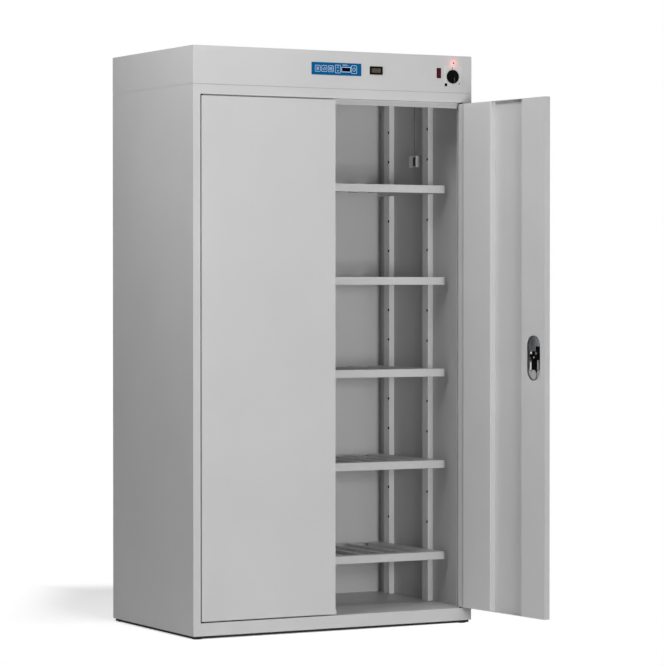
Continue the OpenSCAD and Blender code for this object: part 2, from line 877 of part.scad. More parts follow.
module heater_element() {
  z = ceiling_top + scroll_h / 2;
  color([0.45, 0.44, 0.43]) {
    difference() {
      block([heater_x - 2 * heater_pitch, heater_x + 2 * heater_pitch], [duct_y0 - 2, duct_y0], [z - 18, z + 18]);
      for (i = [-1.5 : 1.5])
        bar_y(heater_x + i * heater_pitch, [duct_y0 - 3, duct_y0 + 1], z, heater_d - 0.5);
    }
    for (i = [-1.5 : 1.5])
      bar_y(heater_x + i * heater_pitch, [duct_y0 - 14, duct_y0 + heater_leg], z, heater_d);
    for (s = [-1, 1])
      translate([heater_x + s * heater_pitch, duct_y0 + heater_leg, z])
        rotate_extrude(angle = 180)
          translate([heater_pitch / 2, 0])
            circle(d = heater_d);
  }
}

// ---- Controls ----

module control_board() {
  color([0.10, 0.35, 0.18])
    block([pad_x - pad_w / 2, pad_x + pad_w / 2], [board_y, board_y + 1.6],
          [panel_mid - board_h / 2, panel_mid + board_h / 2]);
  color(zinc)
    for (sx = [-1, 1], sz = [-1, 1])
      bar_y(pad_x + sx * (pad_w / 2 - 4), [y0 + sheet_t, board_y], panel_mid + sz * (board_h / 2 - 4),
            board_post_d);
  color(black) {
    for (k = keys)
      facing(k[0], y0, panel_mid, switch_face_y - y0, board_y - y0)
        square([6, 6], center = true);
    facing(display_x, y0, panel_mid - 1, 0, board_y - y0)
      square([display_w, display_h], center = true);
    block([pad_x - connector_w / 2, pad_x + connector_w / 2], [board_y + 1.6, board_y + 14],
          [panel_mid - board_h / 2 + 4, panel_mid - board_h / 2 + 4 + connector_h]);
  }
}

module keypad_membrane() {
  color([0.05, 0.40, 0.70])
    difference() {
      facing(pad_x, y0, panel_mid, -pad_t, 0)
        round_rect(pad_w, pad_h, 1.5);
      for (k = keys)
        facing(k[0], y0, panel_mid, -pad_t - eps, eps)
          round_rect(key_w + 2 * key_gap, k[1] + 2 * key_gap, 1.5);
    }
}

module key(i) {
  k = keys[i - 1];
  color([0.08, 0.45, 0.75]) {
    facing(k[0], y0, panel_mid, -pad_t - key_proud, sheet_t + key_gap + key_collar_t / 2)
      round_rect(key_w, k[1], 1.5);
    facing(k[0], y0, panel_mid, sheet_t + key_gap, sheet_t + key_gap + key_collar_t)
      square([key_w + 2 * key_collar, k[1] + 2 * key_collar], center = true);
  }
}

module hour_meter() {
  color(black)
    difference() {
      union() {
        facing(meter_x, y0, panel_mid, -2.5, 0)
          round_rect(meter_w, meter_h, 2);
        facing(meter_x, y0, panel_mid, -eps, 32)
          square([meter_w - 4, meter_h - 4], center = true);
      }
      facing(meter_x, y0, panel_mid, -4, -1.3)
        square([meter_w - 12, meter_h - 11], center = true);
    }
}

module rocker_bezel() {
  color(black)
    difference() {
      union() {
        facing(switch_x, y0, panel_mid, -1.6, 0)
          round_rect(switch_w, switch_h, 1.5);
        facing(switch_x, y0, panel_mid, -eps, 24)
          square([switch_w - 3, switch_h - 3], center = true);
      }
      facing(switch_x, y0, panel_mid, -3, 9)
        square([rocker_w + 2 * key_gap, rocker_h + 2 * key_gap], center = true);
      bar_x([switch_x - switch_w / 2 + 1, switch_x + switch_w / 2 - 1], y0, panel_mid, 2 + 2 * pin_fit);
    }
}

// Drawn pressed at its top, as in the switched-on state
module rocker() {
  color([0.65, 0.05, 0.10])
    translate([switch_x, y0, panel_mid])
      rotate([-rocker_tilt, 0, 0]) {
        translate([-rocker_w / 2, 0, 0])
          rotate([90, 0, 90])
            linear_extrude(rocker_w)
              polygon([[-2.6, -rocker_h / 2 + 1.4], [-1.4, 0], [-2.6, rocker_h / 2 - 1.4],
                       [2, rocker_h / 2 - 0.6], [5, 0], [2, -rocker_h / 2 + 0.6]]);
        bar_x([-switch_w / 2 + 1.4, switch_w / 2 - 1.4], 0, 0, 2);
      }
}

module thermostat_body() {
  color([0.75, 0.72, 0.62]) {
    facing(knob_x, y0, knob_mid, sheet_t, 30)
      square([38, 34], center = true);
    bar_y(knob_x, [y0 - eps, y0 + sheet_t + eps], knob_mid, spindle_d);
    bar_y(knob_x, [y0 - spindle_l, y0], knob_mid, 6);
  }
}

module dial_plate() {
  color([0.86, 0.86, 0.86])
    difference() {
      facing(knob_x + 2, y0, knob_mid + 1.5, -0.5, 0)
        round_rect(dial_w, dial_w, 2);
      bar_y(knob_x, [y0 - eps, y0 + eps], knob_mid, spindle_d + 2);
    }
}

module knob() {
  color(black)
    difference() {
      union() {
        bar_y(knob_x, [y0 - 5, y0 - 1.5], knob_mid, knob_d);
        bar_y(knob_x, [y0 - 9, y0 - 4], knob_mid, knob_d - 6);
        facing(knob_x, y0, knob_mid, -knob_h, -8)
          racetrack(11, knob_d - 8);
      }
      bar_y(knob_x, [y0 - spindle_l - 0.4, y0], knob_mid, 6 + 2 * pin_fit);
    }
}

module pilot_lamp() {
  color([0.95, 0.20, 0.10]) {
    bar_y(lamp_x, [y0 - 1.4, y0 + 14], lamp_mid, lamp_d);
    translate([lamp_x, y0 - 1.4, lamp_mid])
      sphere(d = lamp_d - 0.6);
    bar_y(lamp_x, [y0 + sheet_t, y0 + sheet_t + 3], lamp_mid, lamp_d + 4);
  }
}

module cable_gland() {
  color(black)
    difference() {
      union() {
        bar_y(gland_x, [y1 - sheet_t - 8, y1 + 4], gland_z, 20);
        translate([gland_x, y1, gland_z])
          rotate([-90, 0, 0])
            cylinder(d = 28, h = 6, $fn = 6);
        bar_y(gland_x, [y1 + 6, y1 + 16], gland_z, 22);
        translate([gland_x, y1 - sheet_t, gland_z])
          rotate([90, 0, 0])
            cylinder(d = 28, h = 5, $fn = 6);
      }
      bar_y(gland_x, [y1 - 20, y1 + 17], gland_z, 10);
    }
}

// ---- Door pivots ----

module hinge_pins() {
  color(zinc)
    pair() {
      bar_z(pivot_x, pivot_y, [floor_z - sheet_t - eps, door_z0 + pivot_l], pivot_d);
      bar_z(pivot_x, pivot_y, [floor_z - sheet_t - pin_head_h, floor_z - sheet_t], pin_head_d);
      for (z = [[floor_z, door_z0 - run_gap], [door_z1 + run_gap, rail_z]])
        bar_z(pivot_x, pivot_y, z, pin_head_d);
      bar_z(pivot_x, pivot_y, [door_z1 - pivot_l, rail_z + sheet_t + eps], pivot_d);
      bar_z(pivot_x, pivot_y, [rail_z + sheet_t, rail_z + sheet_t + pin_head_h], pin_head_d);
    }
}

// ---- Doors ----

module door_pan() {
  stile_d = door_t - stile_step;
  difference() {
    union() {
      difference() {
        block([0, door_w], [0, door_t], [door_z0, door_z1]);
        block([door_sheet, door_w - door_sheet], [door_sheet, door_t + eps],
              [door_z0 + door_sheet, door_z1 - door_sheet]);
        block([-eps, stile_w], [stile_d, door_t + eps], [door_z0 - eps, door_z1 + eps]);
      }
      // hinge stile, folded into a box
      block([0, stile_w], [stile_d - door_sheet, stile_d], [door_z0, door_z1]);
      block([stile_w - door_sheet, stile_w], [0, stile_d], [door_z0, door_z1]);
      for (z = [door_z0, door_z1 - boss_h])
        block([0, 2 * pivot_edge], [0, 2 * pivot_face], [z, z + boss_h]);
    }
    bar_z(pivot_edge, pivot_face, [door_z0 - eps, door_z0 + boss_h + eps], pivot_d + 2 * pin_fit);
    bar_z(pivot_edge, pivot_face, [door_z1 - boss_h - eps, door_z1 + eps], pivot_d + 2 * pin_fit);
  }
}

// Upright rectangle whose far corners are round, the second one only if both is true
module bent(w, h, r, both) {
  square([w, h - r]);
  translate([r, 0])
    square([both ? w - 2 * r : w - r, h]);
  for (x = both ? [r, w - r] : [r])
    translate([x, h - r])
      circle(r = r);
}

module hinge_stiffener() {
  translate([stiff_u, door_sheet, door_z0 + door_sheet])
    linear_extrude(door_z1 - door_z0 - 2 * door_sheet) {
      difference() {
        bent(stiff_w, door_t - door_sheet, bend_r, true);
        translate([door_sheet, -eps])
          bent(stiff_w - 2 * door_sheet, door_t - 2 * door_sheet + eps, bend_r - door_sheet, true);
      }
      for (u = [0, stiff_w - weld_w])
        translate([u, 0])
          square([weld_w, door_sheet]);
    }
}

module meeting_stiffener() {
  translate([door_w - meet_w, door_sheet, door_z0 + door_sheet])
    linear_extrude(door_z1 - door_z0 - 2 * door_sheet) {
      difference() {
        bent(meet_w - door_sheet, door_t - door_sheet, bend_r, false);
        translate([door_sheet, -eps])
          bent(meet_w, door_t - 2 * door_sheet + eps, bend_r - door_sheet, false);
      }
      square([weld_w, door_sheet]);
    }
}

module left_door_pan() {
  color(steel)
    in_left_door()
      difference() {
        door_pan();
        for (z = [door_z0, door_z1])
          bar_z(bolt_u, bolt_depth, [z - 2 * door_sheet, z + 2 * door_sheet], bolt_d + 2 * pin_fit);
      }
}

module left_hinge_stiffener() {
  color(steel)
    in_left_door()
      hinge_stiffener();
}

module left_meeting_stiffener() {
  color(steel)
    in_left_door()
      difference() {
        union() {
          meeting_stiffener();
          for (z = [door_z0 + bolt_l - guide_z - guide_t, door_z1 - bolt_l + guide_z])
            block([bolt_u - bolt_d, bolt_u + bolt_d], [door_sheet, door_t], [z, z + guide_t]);
        }
        for (z = [door_z0 + bolt_l - guide_z - guide_t, door_z1 - bolt_l + guide_z])
          bar_z(bolt_u, bolt_depth, [z - eps, z + guide_t + eps], bolt_d + 2 * pin_fit);
        for (z = [door_z0 + bolt_l - thumb_h - bolt_travel - slot_gap, door_z1 - bolt_l - slot_gap])
          block([bolt_u - thumb_w / 2 - slot_gap, bolt_u + thumb_w / 2 + slot_gap],
                [door_t - 2 * door_sheet, door_t + eps], [z, z + thumb_h + bolt_travel + 2 * slot_gap]);
      }
}

module left_top_bolt() {
  color(zinc)
    in_left_door() {
      bar_z(bolt_u, bolt_depth, [door_z1 - bolt_l, door_z1 - rod_end_gap], bolt_d);
      block([bolt_u - thumb_w / 2, bolt_u + thumb_w / 2], [bolt_depth, door_t + thumb_out],
            [door_z1 - bolt_l, door_z1 - bolt_l + thumb_h]);
    }
}

module left_bottom_bolt() {
  color(zinc)
    in_left_door() {
      bar_z(bolt_u, bolt_depth, [door_z0 + rod_end_gap, door_z0 + bolt_l], bolt_d);
      block([bolt_u - thumb_w / 2, bolt_u + thumb_w / 2], [bolt_depth, door_t + thumb_out],
            [door_z0 + bolt_l - thumb_h, door_z0 + bolt_l]);
    }
}

module right_door_pan() {
  color(steel)
    in_right_door()
      difference() {
        door_pan();
        facing(lock_u, 0, lock_z, -eps, 2 * door_sheet)
          racetrack(dish_w + 1, dish_h + 1);
        block([lock_u - rod_w / 2 - run_gap, lock_u + rod_w / 2 + run_gap],
              [upper_d0 - run_gap, upper_d1 + run_gap], [door_z1 - 2 * door_sheet, door_z1 + eps]);
        block([lock_u - rod_w / 2 - run_gap, lock_u + rod_w / 2 + run_gap],
              [lower_d0 - run_gap, lower_d1 + run_gap], [door_z0 - eps, door_z0 + 2 * door_sheet]);
      }
}

module right_hinge_stiffener() {
  color(steel)
    in_right_door()
      hinge_stiffener();
}

module right_lock_stiffener() {
  color(steel)
    in_right_door()
      difference() {
        meeting_stiffener();
        facing(lock_u, 0, lock_z, door_t - 2 * door_sheet, door_t + eps)
          racetrack(oval_w, oval_h);
      }
}

module lock_dish() {
  color([0.55, 0.56, 0.58])
    in_right_door() {
      difference() {
        union() {
          facing(lock_u, 0, lock_z, -rim_t, 0)
            racetrack(dish_w + 2 * rim_w, dish_h + 2 * rim_w);
          facing(lock_u, 0, lock_z, -rim_t, dish_depth)
            racetrack(dish_w, dish_h);
        }
        facing(lock_u, 0, lock_z, -rim_t - eps, dish_depth - dish_wall)
          racetrack(dish_w - 2 * dish_wall, dish_h - 2 * dish_wall);
        bar_y(lock_u, [0, dish_depth + eps], lock_z, spindle_d + 2 * pin_fit);
      }
      // key cylinder
      difference() {
        bar_y(lock_u, [0, dish_depth - dish_wall], lock_z - pad_drop, barrel_d);
        block([lock_u - 1, lock_u + 1], [-eps, 4], [lock_z - pad_drop - 4, lock_z - pad_drop + 4]);
      }
      // domed guide of the upper rod, flat at its lower side
      difference() {
        intersection() {
          bar_y(lock_u, [dish_back, dome_face], lock_z + dome_rise, dome_d);
          translate([lock_u, dome_face - dome_d * 3, lock_z + dome_rise])
            sphere(r = dome_d * 3, $fn = 96);
        }
        block([lock_u - dome_d, lock_u + dome_d], [dish_back, door_t], [lock_z - oval_h, lock_z + dome_low]);
        block([lock_u - rod_w / 2 - run_gap, lock_u + rod_w / 2 + run_gap],
              [upper_d0 - run_gap, upper_d1 + run_gap], [lock_z, lock_z + oval_h]);
      }
      // round guide of the lower rod
      difference() {
        bar_y(lock_u, [dish_back, dome_face + 0.2], lock_z - pad_drop, pad_d);
        block([lock_u - rod_w / 2 - run_gap, lock_u + rod_w / 2 + run_gap],
              [lower_d0 - run_gap, lower_d1 + run_gap / 2], [lock_z - oval_h, lock_z]);
      }
    }
}

module lock_handle() {
  color([0.65, 0.66, 0.68])
    in_right_door() {
      bar_y(lock_u, [-handle_rise, dish_depth - dish_wall - run_gap], lock_z, hub_d);
      bar_y(lock_u, [0, cam_d1], lock_z, spindle_d);
      facing(lock_u, 0, lock_z - (handle_l - handle_w / 2) / 2, -handle_rise, -handle_rise + handle_t)
        racetrack(handle_w, handle_l + handle_w / 2);
      bar_y(lock_u, [cam_d0, cam_d1], lock_z, 2 * cam_r + cam_pin_d + 3);
      bar_y(lock_u - cam_r, [cam_d0, upper_d1], lock_z, cam_pin_d);
      bar_y(lock_u + cam_r, [cam_d0, lower_d1], lock_z, cam_pin_d);
    }
}

// Slotted foot of a lock rod, its pin at +cam_r and its rod going up
module rod_foot(d0, d1) {
  slot_x = [-cam_pin_d / 2 - run_gap, cam_r + cam_pin_d / 2 + run_gap];
  slot_z = [-cam_pin_d / 2 - run_gap, cam_pin_d / 2 + run_gap + cam_slack];
  difference() {
    block([slot_x[0] - foot_edge, slot_x[1] + foot_edge], [d0, d1], [slot_z[0] - foot_edge, slot_z[1] + foot_edge]);
    block(slot_x, [d0 - eps, d1 + eps], slot_z);
  }
}

module upper_rod() {
  color([0.30, 0.30, 0.32])
    in_right_door()
      translate([lock_u, 0, lock_z]) {
        mirror([1, 0, 0])
          rod_foot(upper_d0, upper_d1);
        block([-rod_w / 2, rod_w / 2], [upper_d0, upper_d1],
              [cam_pin_d / 2 + run_gap + cam_slack + foot_edge / 2, door_z1 - rod_end_gap - lock_z]);
      }
}

module lower_rod() {
  color([0.30, 0.30, 0.32])
    in_right_door()
      translate([lock_u, 0, lock_z])
        mirror([0, 0, 1]) {
          rod_foot(lower_d0, lower_d1);
          block([-rod_w / 2, rod_w / 2], [lower_d0, lower_d1],
                [cam_pin_d / 2 + run_gap + cam_slack + foot_edge / 2, lock_z - door_z0 - rod_end_gap]);
        }
}

feet();
plinth_band();
base_frame();
left_side_panel();
right_side_panel();
back_panel();
floor_panel();
bottom_rail();
top_rail();
left_jamb();
right_jamb();
door_stops();
ceiling_panel();
header_front();
header_left_side();
header_right_side();
header_lid();
header_back();
left_posts();
right_posts();
shelf(1);  // shelf_1
shelf(2);  // shelf_2
shelf(3);  // shelf_3
shelf(4);  // shelf_4
shelf(5);  // shelf_5
shelf_screws();
probe_guard();
probe_bulb();
fan_housing();
fan_motor();
heater_element();
control_board();
keypad_membrane();
hour_meter();
rocker_bezel();
thermostat_body();
dial_plate();
pilot_lamp();
cable_gland();
hinge_pins();
impeller();
rocker();
knob();
key(1);  // key_1
key(2);  // key_2
key(3);  // key_3
key(4);  // key_4
key(5);  // key_5
left_door_pan();
left_hinge_stiffener();
left_meeting_stiffener();
left_top_bolt();
left_bottom_bolt();
right_door_pan();
right_hinge_stiffener();
right_lock_stiffener();
lock_dish();
lock_handle();
upper_rod();
lower_rod();
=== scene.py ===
# %% [markdown]
# # A two-door drying cabinet in powder-coated sheet steel
# The cabinet's shapes come ready made from its CAD model, so this lesson is about what Blender adds: real finishes,
# the small printed and moulded details of the control panel and the lock, the light, the floor and the camera.
# Everything is in metres, with the floor at zero height and the cabinet's front facing the negative Y direction.

# %% Load the frame
import math

import bmesh
import bpy
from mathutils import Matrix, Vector


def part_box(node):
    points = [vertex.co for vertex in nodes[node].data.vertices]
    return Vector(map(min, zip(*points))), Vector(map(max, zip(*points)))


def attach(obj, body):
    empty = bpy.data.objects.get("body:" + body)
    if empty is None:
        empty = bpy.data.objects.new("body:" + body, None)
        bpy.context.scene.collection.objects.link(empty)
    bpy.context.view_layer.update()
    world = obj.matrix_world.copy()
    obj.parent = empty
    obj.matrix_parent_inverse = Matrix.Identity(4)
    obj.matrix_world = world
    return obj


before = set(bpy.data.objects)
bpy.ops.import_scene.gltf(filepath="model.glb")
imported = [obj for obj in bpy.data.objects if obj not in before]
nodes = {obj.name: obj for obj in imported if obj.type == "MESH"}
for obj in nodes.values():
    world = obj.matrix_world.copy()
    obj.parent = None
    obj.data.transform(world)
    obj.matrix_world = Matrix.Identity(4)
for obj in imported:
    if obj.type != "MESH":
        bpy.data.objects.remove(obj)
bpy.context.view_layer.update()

MM = 0.001

# %% [markdown]
# The photograph was taken from a little left of the cabinet and about a metre above the floor, with a long lens. The
# edges of the cabinet were fitted to find this camera: it looks almost level and 28.5 degrees towards the right.
# Depth of field stays off, so every sheet edge is sharp.

# %% Camera
camera_data = bpy.data.cameras.new("camera")
camera_data.lens = 160.59
camera_data.sensor_width = 36
camera = bpy.data.objects.new("camera", camera_data)
camera.location = (-4.4829, -8.5346, 1.0870)
camera.rotation_euler = (math.radians(90 - 0.863), 0, math.radians(-28.491))
bpy.context.scene.collection.objects.link(camera)
bpy.context.scene.camera = camera
print("camera at", tuple(round(v, 2) for v in camera.location), "lens", camera_data.lens, "mm")

# %% [markdown]
# Colours are written as the sRGB hex values that a paint card or a screen shows, and shaders need linear values, so
# one function turns the first into the second. One more adds a shader node with its settings, values and links.

# %% Colour and node helpers
def linear(hex_colour):
    parts = [int(hex_colour[i : i + 2], 16) / 255 for i in (1, 3, 5)]
    return tuple(c / 12.92 if c <= 0.04045 else ((c + 0.055) / 1.055) ** 2.4 for c in parts) + (1,)


def add(tree, kind, values={}, links={}, **settings):
    node = tree.nodes.new("ShaderNode" + kind)
    for name, value in settings.items():
        setattr(node, name, value)
    for socket, value in values.items():
        node.inputs[socket].default_value = value
    for socket, source in links.items():
        tree.links.new(source, node.inputs[socket])
    return node


def start_finish(name):
    finish = bpy.data.materials.new(name)
    finish.use_nodes = True
    finish.node_tree.nodes.clear()
    return finish, finish.node_tree


def end_finish(tree, surface):
    add(tree, "OutputMaterial", links={"Surface": surface.outputs[0]})


print("white is", linear("#ffffff")[:3], "mid grey is", round(linear("#808080")[0], 3))

# %% [markdown]
# The cabinet is cold-rolled steel with a baked powder coat. Powder flows out as it bakes and leaves a soft gloss with
# a faint orange peel, whose waves are about 2 mm long. That is under a pixel in the picture, so the waves are drawn
# 6 mm long and very shallow. A second, much larger noise changes the gloss a little from place to place, as handling
# and cleaning do.

# %% Powder-coated steel
def powder_coated_steel(name, light, dark, peel_height=0.00004):
    finish, tree = start_finish(name)
    place = add(tree, "TexCoord").outputs["Object"]
    cloud = add(tree, "TexNoise", {"Scale": 3.0, "Detail": 3.0}, {"Vector": place})
    tone = add(tree, "ValToRGB", links={"Fac": cloud.outputs["Fac"]})
    tone.color_ramp.elements[0].color = linear(dark)
    tone.color_ramp.elements[0].position = 0.3
    tone.color_ramp.elements[1].color = linear(light)
    tone.color_ramp.elements[1].position = 0.7
    gloss = add(tree, "MapRange", {"From Min": 0.3, "From Max": 0.7, "To Min": 0.40, "To Max": 0.48},
                {"Value": cloud.outputs["Fac"]})
    peel = add(tree, "TexNoise", {"Scale": 170.0, "Detail": 1.0}, {"Vector": place})
    bump = add(tree, "Bump", {"Strength": 0.35, "Distance": peel_height}, {"Height": peel.outputs["Fac"]})
    coat = add(tree, "BsdfPrincipled", {"IOR": 1.5, "Metallic": 0.0},
               {"Base Color": tone.outputs["Color"], "Roughness": gloss.outputs["Result"],
                "Normal": bump.outputs["Normal"]})
    end_finish(tree, coat)
    return finish


grey_coat = powder_coated_steel("light_grey_powder_coat", "#cacaca", "#c6c6c6")
# The same grey coat again, but paler: painted light, so that the shelf posts and the probe guard come out lighter than
# the lamps alone make them.
painted_light_coat = powder_coated_steel("grey_powder_coat_painted_lighter", "#e8e8e8", "#e4e4e4")
print("made", grey_coat.name, "and", painted_light_coat.name, "for the shelf posts and the probe guard")

# %% [markdown]
# The screws, lock rods and bolts are zinc plated: bright, slightly blue, and brushed by tumbling. The fan housing is
# galvanised sheet, with the large soft spangle of hot-dipped zinc, and the pivot pins are blackened in hot oil. All
# are metals, so their colour is the colour of their reflection.

# %% Zinc, galvanised and heat-toned steel
def plated_steel(name, light, dark, grain_mm, rough_low, rough_high):
    finish, tree = start_finish(name)
    place = add(tree, "TexCoord").outputs["Object"]
    grain = add(tree, "TexVoronoi", {"Scale": 1000 / grain_mm}, {"Vector": place})
    tone = add(tree, "ValToRGB", links={"Fac": grain.outputs["Color"]})
    tone.color_ramp.elements[0].color = linear(dark)
    tone.color_ramp.elements[1].color = linear(light)
    rough = add(tree, "MapRange", {"To Min": rough_low, "To Max": rough_high}, {"Value": grain.outputs["Distance"]})
    metal = add(tree, "BsdfPrincipled", {"Metallic": 1.0},
                {"Base Color": tone.outputs["Color"], "Roughness": rough.outputs["Result"]})
    end_finish(tree, metal)
    return finish


zinc_plate = plated_steel("zinc_plated_steel", "#c8ccd2", "#b4b8be", 3, 0.28, 0.42)
galvanised = plated_steel("galvanised_sheet", "#b9bdc2", "#9fa4aa", 14, 0.35, 0.55)
heater_steel = plated_steel("heat_toned_stainless", "#8a8078", "#6e6660", 5, 0.4, 0.6)
cast_aluminium = plated_steel("cast_aluminium", "#8f9296", "#7f8286", 2, 0.5, 0.7)
blackened = plated_steel("blackened_steel", "#303134", "#242527", 3, 0.4, 0.55)
print("made", zinc_plate.name, galvanised.name, heater_steel.name, cast_aluminium.name, blackened.name)

# %% [markdown]
# The lock's dish and handle are die-cast zinc with a dull chrome plate. Chrome is a mirror with some haze, so it takes
# its look from the room. A slow noise bends the reflections as an as-cast surface does.

# %% Dark chrome
def dark_chrome(name, colour, rough):
    finish, tree = start_finish(name)
    place = add(tree, "TexCoord").outputs["Object"]
    wave = add(tree, "TexNoise", {"Scale": 120.0, "Detail": 2.0}, {"Vector": place})
    haze = add(tree, "MapRange", {"To Min": rough * 0.7, "To Max": rough * 1.4}, {"Value": wave.outputs["Fac"]})
    bump = add(tree, "Bump", {"Strength": 0.3, "Distance": 0.0003}, {"Height": wave.outputs["Fac"]})
    metal = add(tree, "BsdfPrincipled", {"Base Color": linear(colour), "Metallic": 1.0},
                {"Roughness": haze.outputs["Result"], "Normal": bump.outputs["Normal"]})
    end_finish(tree, metal)
    return finish


chrome = dark_chrome("dark_chrome_plate", "#b0b3b8", 0.3)
print("made", chrome.name)

# %% [markdown]
# The bezels, the knob and the gland are moulded ABS or nylon with a fine spark-eroded grain, about 0.3 mm. It is
# drawn at 1 mm so that it just breaks up the highlight. The rubber of the feet is softer and duller.

# %% Moulded plastics and rubber
def moulded_plastic(name, colour, worn, rough, grain_mm, ior=1.5):
    finish, tree = start_finish(name)
    place = add(tree, "TexCoord").outputs["Object"]
    grain = add(tree, "TexNoise", {"Scale": 1000 / grain_mm, "Detail": 2.0}, {"Vector": place})
    tone = add(tree, "ValToRGB", links={"Fac": grain.outputs["Fac"]})
    tone.color_ramp.elements[0].color = linear(colour)
    tone.color_ramp.elements[1].color = linear(worn)
    gloss = add(tree, "MapRange", {"To Min": rough - 0.06, "To Max": rough + 0.06}, {"Value": grain.outputs["Fac"]})
    bump = add(tree, "Bump", {"Strength": 0.2, "Distance": 0.0001}, {"Height": grain.outputs["Fac"]})
    plastic = add(tree, "BsdfPrincipled", {"IOR": ior},
                  {"Base Color": tone.outputs["Color"], "Roughness": gloss.outputs["Result"],
                   "Normal": bump.outputs["Normal"]})
    end_finish(tree, plastic)
    return finish


black_abs = moulded_plastic("black_abs", "#040404", "#090909", 0.55, 1.0, 1.2)
cream_abs = moulded_plastic("cream_abs", "#c8bfa8", "#d0c8b2", 0.45, 1.0)
black_rubber = moulded_plastic("black_rubber", "#1b1b1c", "#242425", 0.75, 2.0)
red_plastic = moulded_plastic("dark_red_polycarbonate", "#4e0a1c", "#591122", 0.45, 2.0, 1.25)
board_mask = moulded_plastic("solder_mask", "#1d5a34", "#236b3e", 0.35, 1.5)
dial_film = moulded_plastic("dial_label_film", "#d2d2d2", "#cdcdce", 0.5, 1.5)
blue_film = moulded_plastic("blue_keypad_film", "#005689", "#035b8e", 0.6, 1.5, 1.15)
# White for the lock's rivet and glide: it paints the bright highlights in the lock's window.
white_painted_highlight = moulded_plastic("white_painted_highlight", "#f4f4f2", "#ecece9", 0.35, 1.5)
black_nylon_and_painted_shade = moulded_plastic("black_nylon_and_painted_shade", "#030303", "#070707", 0.6, 1.5, 1.15)
zinc_casting = moulded_plastic("raw_zinc_casting", "#b2b2b2", "#a2a2a3", 0.45, 2.5)
# Grey for the bead that paints the shade in the header joint.
joint_shade_grey = moulded_plastic("grey_joint_painted_shade", "#b0b0b0", "#aaaaaa", 0.6, 2.0)
print("made", len(bpy.data.materials), "finishes so far")

# %% [markdown]
# The pilot lamp is a red moulded lens with a small bulb behind it. It is lit in the picture, so the lens also gives
# off its own light, a little uneven because of the fine ribs moulded inside it.

# %% Lit red lens
def lit_lens(name, colour, glow, strength):
    finish, tree = start_finish(name)
    place = add(tree, "TexCoord").outputs["Object"]
    ribs = add(tree, "TexNoise", {"Scale": 300.0, "Detail": 1.0}, {"Vector": place})
    power = add(tree, "MapRange", {"To Min": strength * 1.3, "To Max": strength * 0.7}, {"Value": ribs.outputs["Fac"]})
    lens = add(tree, "BsdfPrincipled", {"Base Color": linear(colour), "Roughness": 0.15, "IOR": 1.49,
                                        "Emission Color": linear(glow)},
               {"Emission Strength": power.outputs["Result"]})
    end_finish(tree, lens)
    return finish


pilot_red = lit_lens("lit_red_lens", "#6a2428", "#b04a46", 0.25)
print("made", pilot_red.name)

# %% [markdown]
# Each CAD node now gets the finish of the real piece. A node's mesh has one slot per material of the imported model,
# so the finish goes into all of them.

# %% Finishes on the CAD nodes
finish_of = {name: grey_coat for name in nodes}
finish_of.update({
    "feet": black_rubber, "plinth_band": black_rubber, "shelf_screws": zinc_plate, "probe_bulb": heater_steel,
    "hinge_pins": blackened, "fan_housing": galvanised, "fan_motor": cast_aluminium, "impeller": black_abs,
    "heater_element": heater_steel, "control_board": board_mask, "keypad_membrane": blue_film,
    "hour_meter": black_abs, "rocker_bezel": black_abs, "rocker": red_plastic, "thermostat_body": cream_abs,
    "dial_plate": dial_film, "knob": black_abs, "pilot_lamp": pilot_red, "cable_gland": black_abs,
    "left_top_bolt": zinc_plate, "left_bottom_bolt": zinc_plate, "lock_dish": chrome, "lock_handle": chrome,
    "upper_rod": zinc_plate, "lower_rod": zinc_plate, "left_posts": painted_light_coat, "right_posts": painted_light_coat,
    "probe_guard": painted_light_coat})
finish_of.update({f"key_{i}": blue_film for i in range(1, 6)})
for name, node in nodes.items():
    if not node.data.materials:
        node.data.materials.append(finish_of[name])
    for i in range(len(node.data.materials)):
        node.data.materials[i] = finish_of[name]
print("finished", len(finish_of), "nodes")

# %% [markdown]
# The floor is plain and pale. In the picture it is pure white with only a soft shadow behind the cabinet's left side,
# so where the camera sees the floor or the world it is white through Light Path. The shadow stays because the floor
# near the cabinet mixes a white glow with a matt white surface that the cabinet darkens. Further off, and towards the
# left of the picture, that mix fades into plain white.

# %% Floor
HALF_WIDTH = 30
PAPER_GLOW = 0.45
SHADOW_MIDDLE, SHADOW_FADE = (-0.35, 0.45, 0), (0.75, 1.1)
PICTURE_LEFT, LEFT_FADE = (-0.879, 0.477, 0), (0.72, 0.99)
floor_mesh = bpy.data.meshes.new("floor")
floor_mesh.from_pydata([(x * HALF_WIDTH, y * HALF_WIDTH, 0) for x, y in ((-1, -1), (1, -1), (1, 1), (-1, 1))], [],
                       [(0, 1, 2, 3)])
floor = bpy.data.objects.new("floor", floor_mesh)
bpy.context.scene.collection.objects.link(floor)
paper, tree = start_finish("white_paper_floor")
seen = add(tree, "LightPath")
seen_any = add(tree, "Math", links={0: seen.outputs["Is Camera Ray"], 1: seen.outputs["Is Transmission Ray"]},
               operation="MAXIMUM")
matt = add(tree, "BsdfDiffuse", {"Color": linear("#f2f2f2")})
lit_paper = add(tree, "BsdfDiffuse", {"Color": linear("#ffffff")})
glow = add(tree, "Emission", {"Color": linear("#ffffff"), "Strength": PAPER_GLOW})
near_paper = add(tree, "AddShader", links={0: lit_paper.outputs[0], 1: glow.outputs[0]})
far_paper = add(tree, "Emission", {"Color": linear("#ffffff"), "Strength": 1.0})
place = add(tree, "TexCoord").outputs["Object"]
behind = add(tree, "VectorMath", {1: SHADOW_MIDDLE}, {0: place}, operation="SUBTRACT")
reach = add(tree, "VectorMath", links={0: behind.outputs[0]}, operation="LENGTH")
fade = add(tree, "MapRange", {"From Min": SHADOW_FADE[0], "From Max": SHADOW_FADE[1]},
           {"Value": reach.outputs["Value"]}, interpolation_type="SMOOTHSTEP")
sideways = add(tree, "VectorMath", {1: PICTURE_LEFT}, {0: place}, operation="DOT_PRODUCT")
left_fade = add(tree, "MapRange", {"From Min": LEFT_FADE[0], "From Max": LEFT_FADE[1]},
                {"Value": sideways.outputs["Value"]}, interpolation_type="SMOOTHSTEP")
